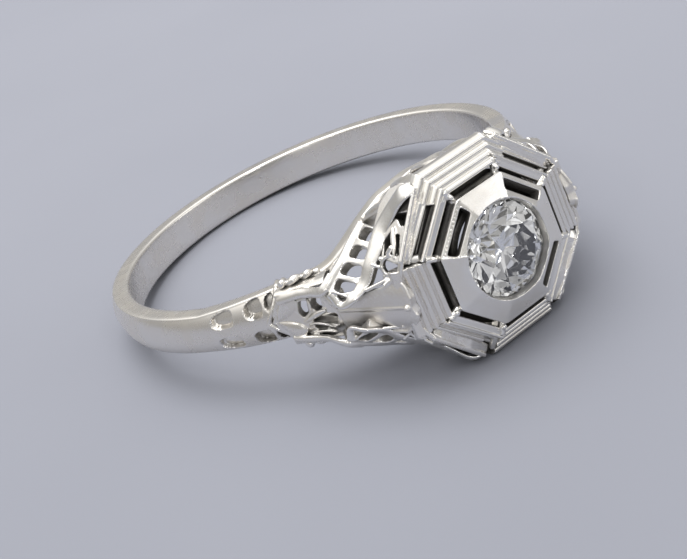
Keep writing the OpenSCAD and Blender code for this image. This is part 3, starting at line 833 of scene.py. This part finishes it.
def make_spray():
    """Pierced leaves between the shoulder's point and a collar."""
    front = 27.5
    height = [(front, 10.85), (30.5, 10.45), (34.6, 10.06), (37, 9.97), (44, 9.62)]

    def place(angle, z):
        return on_circle(between(height, angle) - 0.2 * (z / NECK_HALF) ** 2, angle, z)

    # drawn in (angle, z), and cut out with the angle as millimetres along the sheet
    degrees_per_mm = 5.6
    flat = lambda x, z: place(front + x * degrees_per_mm, z)
    to_flat = lambda pairs: [((a - front) / degrees_per_mm, z) for a, z in pairs]
    outline = to_flat([(27.5, 0.7), (29, 1.12), (32, 1.12), (36, 1.06), (40.5, 1.02), (43.5, 0.3),
                       (43.5, -0.3), (40.5, -1.02), (36, -1.06), (32, -1.12), (29, -1.12),
                       (27.5, -0.7)])
    holes = [rounded(to_flat(pairs), 0.08) for pairs in (
        [(34.2, 0.56), (36.2, 0.6), (37.1, 0.2), (36.5, -0.08), (35.0, 0.06)],
        [(31.2, 0.66), (33.2, 0.62), (33.8, 0.26), (33.1, 0.07), (31.6, 0.2)],
        [(29.3, -0.14), (31.6, -0.06), (34.9, -0.2), (34.6, -0.34), (31.8, -0.46), (30.0, -0.66)],
        [(31.5, -0.58), (33.2, -0.44), (35.0, -0.44), (34.8, -0.68), (32.8, -0.76)],
        [(32.6, -0.93), (34.8, -0.86), (35.2, -1.0), (33.6, -1.06)],
    )]
    cast = Cast()
    cast.sheet(outline, holes, flat, thick=0.42, pitch=0.1)
    up = on_circle(1, 33, 0)
    strokes = [
        (((31.0, 0.1), (33.5, -0.04), (36.9, -0.26)), 0.13),
        (((34.4, 0.12), (34.0, 0.4), (34.0, 0.7)), 0.09),
        (((30.6, -0.72), (32.3, -0.5), (34.5, -0.38), (36.2, -0.44)), 0.07),
        (((30.8, -0.95), (33.4, -0.8), (36.6, -0.8)), 0.09),
        (((28.6, 0.1), (29.5, 0.5), (30.6, 0.85)), 0.16),
        (((36.6, 0.72), (39.0, 0.45), (42.4, 0.05)), 0.36),
        (((36.7, -0.62), (39.0, -0.4), (42.4, -0.05)), 0.32),
    ]
    for points, width in strokes:
        cast.leaf(spline([place(*p) for p in points], 14), width, 0.13, up)
    edge = LADDER_FOOT[3:] + [FOOT_END, on_circle(10.18, 35, 0.98), on_circle(9.95, 38, 0.92),
                              on_circle(9.75, 40.5, 0.85)]
    for level in (1, -1):
        rim = [Vector((p.x, p.y, p.z * level)) for p in edge]
        cast.ribbon(spline(rim, 50), 0.2, 0.13, up + Vector((0, 0, level * 0.6)))
        wall = []
        for i in range(17):
            t = i / 16
            wall.append(on_circle(mix(9.95, 9.45, t), mix(28.5, 40.5, t), level * mix(1.12, 1.02, t)))
        cast.ribbon(wall, lambda t: mix(0.55, 0.35, t), 0.13, Vector((0, 0, 1)))
    return fuse(cast, 0.03, 3)


# --- stepped tiers ---

def to_side(away):
    """How far a diagonal slot runs towards its side plate."""
    return mix(0.95, 0.6, min(1.0, (away - TIER_INNER) / 0.5))


def bar(cast, profile, turn, start, end):
    """Runs a section of (away, x) pairs along one side of an octagon.

    start and end give how far the bar reaches to either side at each distance away.
    """
    rings = []
    for t in (0, 0.25, 0.5, 0.75, 1):
        rings.append([on_head(x, mix(start(away), end(away), t), away, turn) for away, x in profile])
    cast.loft(rings)


def stepped_section(start, end, top, drop, steps):
    """Rounded ridges that fall away outwards, over a thick floor."""
    profile = []
    pitch = (end - start) / steps
    for i in range(steps):
        x = top - drop * i / steps
        a = start + i * pitch
        profile += [(a, x - 0.14), (a + pitch * 0.08, x - 0.03), (a + pitch * 0.28, x),
                    (a + pitch * 0.62, x - 0.03), (a + pitch * 0.8, x - 0.13)]
    last = top - drop
    profile += [(end, last - 0.1), (end, last - 0.35), (end - 0.2, last - 0.5),
                (start + 0.15, top - 0.75), (start, top - 0.6)]
    return profile


def make_side_step_plate(diagonal_edge):
    """Ridges along a side of the head, which turn the corners on to the diagonals."""
    cast = Cast()
    mitre = lambda away: away * tan(OCTANT)
    bar(cast, stepped_section(TIER_INNER, SIDE_EDGE - 0.02, TIER_TOP, 0.72, 4), 0.0,
        lambda a: -mitre(a), mitre)
    section = stepped_section(TIER_INNER, diagonal_edge, TIER_TOP, 0.72, 4)
    bar(cast, section, pi / 4, to_side, lambda a: mitre(a) + 0.03)
    bar(cast, section, -pi / 4, lambda a: -mitre(a) - 0.03, lambda a: -to_side(a))
    return fuse(cast, 0.03, 2)


def make_shoulder_step_plate():
    cast = Cast()
    half = lambda away: mix(1.16, 1.36, (away - TIER_INNER) / (SHOULDER_EDGE - TIER_INNER))
    bar(cast, stepped_section(TIER_INNER, SHOULDER_EDGE, TIER_TOP, 0.45, 5), pi / 2,
        lambda a: -half(a), half)
    return fuse(cast, 0.03, 6)


def on_diagonals(cast, section, to_shoulder, to_side_plate, levels=(1, -1)):
    """Bars on the diagonals, each from a shoulder plate to a side plate."""
    for turn, low, high in (
            (pi / 4, lambda a: -to_shoulder(a), to_side_plate),
            (-pi / 4, lambda a: -to_side_plate(a), to_shoulder)):
        if 1 in levels:
            bar(cast, section, turn, low, high)
        if -1 in levels:
            bar(cast, section, pi - turn, lambda a: -high(a), lambda a: -low(a))


def make_inner_wires():
    cast = Cast()
    a, b = TIER_INNER - 0.08, TIER_INNER + 0.3
    section = [(a, TIER_TOP - 0.1), (a + 0.04, TIER_TOP - 0.03), (b - 0.09, TIER_TOP - 0.06),
               (b - 0.07, TIER_TOP), (b, TIER_TOP - 0.02), (b + 0.02, TIER_TOP - 0.1),
               (b, TIER_TOP - 0.4), (a, TIER_TOP - 0.4)]
    reach = lambda away: away * tan(OCTANT) + 0.04
    on_diagonals(cast, section, reach, reach)
    return fuse(cast, 0.03, 2)


def make_outer_wires():
    """Twin ridges outside the wide slot, and whole steps on the lower diagonals."""
    cast = Cast()
    to_shoulder = lambda away: away * tan(OCTANT) + 0.12
    first, pitch, drop = 3.28, 0.16, 0.1
    for i in range(2):
        a = first + i * pitch
        x = TIER_TOP - 0.36 - i * drop
        section = [(a, x - 0.1), (a + 0.04, x), (a + 0.1, x), (a + 0.14, x - 0.1),
                   (a + pitch, x - 0.4), (a, x - 0.4)]
        on_diagonals(cast, section, to_shoulder, lambda away: to_side(away) + 0.1, (1,))
    # the wide slot's floor
    start, end, floor_x = TIER_INNER + 0.05, 3.4, TIER_TOP - 0.6
    floor = [(start, floor_x - 0.1), (start, floor_x), (end, floor_x), (end, floor_x - 0.1)]
    on_diagonals(cast, floor, to_shoulder, to_side, (1,))
    lower = stepped_section(TIER_INNER + 0.22, SIDE_EDGE - 0.1, TIER_TOP - 0.12, 0.6, 3)
    on_diagonals(cast, lower, to_shoulder, lambda away: to_side(away) + 0.1, (-1,))
    return fuse(cast, 0.03, 4)


def make_corner_bridges():
    """Posts and beads that tie the plate to the tiers at its eight corners."""
    cast = Cast()
    corner_r = PLATE_FLAT / cos(OCTANT)
    for k in range(8):
        turn = OCTANT + k * pi / 4
        cast.wire(on_head(RIM_TOP - 0.3, 0, corner_r - 0.2, turn),
                  on_head(TIER_TOP - 0.12, 0, corner_r + 0.45, turn), 0.15)
        cast.bead(on_head(RIM_TOP - 0.2, 0, corner_r + 0.13, turn), 0.11)
        cast.wire(on_head(TIER_TOP - 0.35, 0, corner_r + 0.3, turn),
                  on_head(TIER_TOP - 0.75, 0, corner_r + 1.0, turn), 0.2)
    return fuse(cast, 0.03, 3)


# --- stone setting ---

def make_bezel_plate():
    """Eight facets that rise from the plate's rim to the round opening."""
    opening = STONE_R + 0.01
    lip, slope = 0.03, 0.43               # the level rim's width and the facets' rise

    def place(y, z):
        out = max(y * cos(a) + z * sin(a) for a in (k * pi / 4 for k in range(8)))
        return Vector((RIM_TOP + max(0.0, PLATE_FLAT - lip - out) * slope, y, z))

    corner_r = PLATE_FLAT / cos(OCTANT)
    outline = [(corner_r * cos(OCTANT + k * pi / 4), corner_r * sin(OCTANT + k * pi / 4))
               for k in range(8)]
    holes = [oval(0, 0, opening, opening, count=96)]
    for turn in (pi / 4, 3 * pi / 4, 7 * pi / 4):       # the near lower diagonal is left whole
        slot = [(2.0, -0.8), (2.38, -0.88), (2.38, 0.88), (2.0, 0.8)]
        holes.append(rounded([(d * cos(turn) - w * sin(turn), d * sin(turn) + w * cos(turn))
                              for d, w in slot], 0.09))
    cast = Cast()
    cast.sheet(rounded(outline, 0.1), holes, place, thick=0.5, pitch=0.1)
    return fuse(cast, 0.03, 2)


def make_collet():
    """The cup under the stone, open at both ends, with a flange that backs the slots; its near-black
    metal stands for oxide and for painted shade seen through the slots.
    """
    top, flange = COLLET_HIGH.x, COLLET_HIGH.x - 0.4
    wall = STONE_R + 0.22
    section = [(STONE_R - 0.55, COLLET_LOW.x), (STONE_R - 0.35, COLLET_LOW.x),
               (wall - 0.2, flange - 0.2), (COLLET_HIGH.z, flange - 0.15), (COLLET_HIGH.z, flange),
               (wall, flange + 0.05), (wall, top), (STONE_R - 0.05, top), (STONE_R - 0.08, top - 0.15)]
    rings = []
    for k in range(72):
        turn = 2 * pi * k / 72
        rings.append([on_head(x, 0, r, turn) for r, x in section])
    cast = Cast()
    cast.loft(rings, closed=True)
    return fuse(cast, 0.035, 2)


def make_diamond():
    """Old European cut: table, eight stars, kites, girdle facets and an open culet."""
    girdle_r, table_r, culet_r = STONE_R - 0.01, STONE_R * 0.54, STONE_R * 0.06
    girdle_x = 13.1
    girdle_top, table_x, culet_x = girdle_x + 0.06, DIAMOND_HIGH.x, DIAMOND_LOW.x
    half_step = 0.5
    star_r = mix(table_r, girdle_r, half_step) / cos(OCTANT)
    star_x = mix(table_x, girdle_top, half_step)
    lower = 0.3
    lower_r = mix(culet_r, girdle_r, lower) / cos(OCTANT)
    lower_x = mix(culet_x, girdle_x, lower)
    verts = []

    def ring(count, radius, x, offset=0.0):
        first = len(verts)
        verts.extend(on_head(x, 0, radius, 2 * pi * (k + offset) / count) for k in range(count))
        return [first + k for k in range(count)]

    table = ring(8, table_r, table_x)
    star = ring(8, star_r, star_x, 0.5)
    top = ring(16, girdle_r, girdle_top)
    bottom = ring(16, girdle_r, girdle_x)
    main = ring(8, lower_r, lower_x, 0.5)
    culet = ring(8, culet_r, culet_x)
    faces = [tuple(table), tuple(reversed(culet))]
    for k in range(8):
        n, b = (k + 1) % 8, k - 1
        faces.append((table[k], table[n], star[k]))
        faces.append((table[k], star[k], top[2 * k], star[b]))
        faces.append((star[k], top[2 * k + 1], top[2 * k]))
        faces.append((star[k], top[(2 * k + 2) % 16], top[2 * k + 1]))
        faces.append((culet[k], culet[n], main[k]))
        faces.append((culet[k], main[k], bottom[2 * k], main[b]))
        faces.append((main[k], bottom[2 * k + 1], bottom[2 * k]))
        faces.append((main[k], bottom[(2 * k + 2) % 16], bottom[2 * k + 1]))
    for k in range(16):
        n = (k + 1) % 16
        faces.append((top[k], top[n], bottom[n], bottom[k]))
    return to_mesh(verts, faces, "diamond")


def build_ring():
    piece("shank_band", make_shank(), POLISHED, ["shank"], crisp=50)
    two_sides("collar", make_collar(), POLISHED)
    two_levels("rail", make_rail(), CAST_METAL)
    piece("rail_leaves_cast", make_rail_leaves(), POLISHED, ["rail_leaves"])
    two_levels("gallery", make_gallery(), CAST_METAL)
    four_ways("ladder", make_ladder(), BRIGHT)
    two_sides("petals", make_petals(), SATIN)
    four_ways("corner", make_corner(), POLISHED)
    four_ways("eyelet", make_eyelet(), BRIGHT)
    two_sides("spray", make_spray(), POLISHED)
    for level, edge in (("upper", SIDE_EDGE - 0.02), ("lower", SIDE_EDGE - 0.4)):
        piece(f"step_plate_{level}_cast", make_side_step_plate(edge), BRIGHT,
              [f"step_plate_{level}"], (1, 1, LEVEL_SIGNS[level]))
    two_sides("step_plate", make_shoulder_step_plate(), POLISHED)
    piece("inner_wires_cast", make_inner_wires(), BRIGHT, ["inner_wires"])
    piece("outer_wires_cast", make_outer_wires(), BRIGHT, ["outer_wires"])
    piece("corner_bridges_cast", make_corner_bridges(), BRIGHT, ["corner_bridges"])
    piece("bezel_plate_cast", make_bezel_plate(), BRIGHT, ["bezel_plate"])
    piece("collet_cup", make_collet(), TARNISHED_AND_SHADED, ["collet"])
    stone = piece("diamond_cut", make_diamond(), STONE, ["diamond"])
    stone.data.shade_flat()


build_ring()


# --- floor, light and camera ---

CAMERA_AZIMUTH, CAMERA_ELEVATION, CAMERA_ROLL = 64.27, 21.41, -24.6
CAMERA_AIM = Vector((1.00, -0.41, -2.76))
CAMERA_DISTANCE = 60.0
CAMERA_LENS = 72.18


def lying_normal():
    """Up from the surface that the ring lies on: its back and its head both touch."""
    back = Vector((SHANK_LOW.x, 0, -BACK_HALF))
    head = Vector((SIDE_LOW.x, 0, -SIDE_EDGE))
    along = (head - back).normalized()
    return along.cross(Vector((0, 1, 0))).normalized()


def add_floor():
    up = lying_normal()
    lowest = min(up.dot(v.co) for o in bpy.data.objects
                 if o.type == "MESH" and o.visible_get() for v in o.data.vertices)
    half = 1.5                            # metres
    mesh = bpy.data.meshes.new("floor")
    u = up.orthogonal().normalized()
    v = up.cross(u)
    centre = up * lowest
    mesh.from_pydata([tuple(centre + u * a * half + v * b * half)
                      for a, b in ((-1, -1), (1, -1), (1, 1), (-1, 1))], [], [(0, 1, 2, 3)])
    mesh.materials.append(floor_with_painted_shade())
    floor = bpy.data.objects.new("floor", mesh)
    bpy.context.collection.objects.link(floor)
    return up


def add_camera():
    az, el, roll = (radians(a) for a in (CAMERA_AZIMUTH, CAMERA_ELEVATION, CAMERA_ROLL))
    back = Vector((sin(az) * cos(el), -cos(az) * cos(el), sin(el)))
    level = Vector((cos(az), sin(az), 0))
    rise = back.cross(level)
    right = level * cos(roll) + rise * sin(roll)
    up = back.cross(right)
    data = bpy.data.cameras.new("camera")
    data.lens, data.sensor_width = CAMERA_LENS, 36.0
    data.clip_start, data.clip_end = 0.002, 20.0
    camera = bpy.data.objects.new("camera", data)
    bpy.context.collection.objects.link(camera)
    place = (CAMERA_AIM + back * CAMERA_DISTANCE) * MM
    camera.matrix_world = Matrix.Translation(place) @ Matrix((right, up, back)).transposed().to_4x4()
    bpy.context.scene.camera = camera
    return right, up, back


def add_softbox(name, direction, distance, size, power, colour=(1, 1, 1)):
    data = bpy.data.lights.new(name, "AREA")
    data.shape, data.size, data.energy, data.color = "DISK", size, power, colour
    light = bpy.data.objects.new(name, data)
    bpy.context.collection.objects.link(light)
    direction = direction.normalized()
    light.location = direction * distance
    light.rotation_euler = direction.to_track_quat("Z", "Y").to_euler()


def add_world(lobes, base):
    """Studio walls: a plain tone with soft bright and dark areas.

    A lobe is its direction, the cosines off it where it starts and is full, and its gain.
    """
    world = bpy.data.worlds.new("studio")
    world.use_nodes = True
    tree = world.node_tree
    place = tree.nodes.new("ShaderNodeTexCoord").outputs["Generated"]
    total = None
    for direction, start, full, gain in lobes:
        dot = tree.nodes.new("ShaderNodeVectorMath")
        dot.operation = "DOT_PRODUCT"
        dot.inputs[1].default_value = direction.normalized()
        tree.links.new(place, dot.inputs[0])
        lobe = tree.nodes.new("ShaderNodeMapRange")
        lobe.interpolation_type = "SMOOTHSTEP"
        for key, value in (("From Min", start), ("From Max", full), ("To Min", 0.0), ("To Max", gain)):
            lobe.inputs[key].default_value = value
        tree.links.new(dot.outputs["Value"], lobe.inputs["Value"])
        add = tree.nodes.new("ShaderNodeMath")
        add.operation = "ADD"
        tree.links.new(lobe.outputs["Result"], add.inputs[0])
        if total is None:
            add.inputs[1].default_value = base
        else:
            tree.links.new(total, add.inputs[1])
        total = add.outputs["Value"]
    shader = tree.nodes["Background"]
    shader.inputs["Color"].default_value = (1.0, 0.985, 0.965, 1)
    tree.links.new(total, shader.inputs["Strength"])
    bpy.context.scene.world = world


def light_studio(floor_up, right, up, back):
    add_world([
        (floor_up, 0.1, 0.9, 0.5),
        (up * 0.8 - right * 0.55 + back * 0.2, 0.55, 0.98, 0.6),
        (right * 0.75 - up * 0.3 + back * 0.6, 0.6, 0.98, -0.16),
        (-right * 0.5 - up * 0.1 + back * 0.85, 0.75, 0.99, -0.1),
    ], 0.39)
    key = up * 0.9 + floor_up * 0.5 - right * 0.5 + back * 0.15
    add_softbox("key", key, 0.35, 0.3, 0.55)
    add_softbox("side", right * 1.0 + floor_up * 0.55 + back * 0.15, 0.4, 0.2, 0.12)
    # small lamps that make the stone flash
    for i, (x, y) in enumerate(((-0.35, 0.5), (0.3, 0.25), (-0.1, -0.3), (0.55, -0.2), (-0.6, 0.0))):
        add_softbox(f"lamp_{i}", back + right * x + up * y, 0.4, 0.035, 0.045)


floor_up = add_floor()
camera_axes = add_camera()
light_studio(floor_up, *camera_axes)
bpy.context.scene.view_settings.view_transform = "Standard"
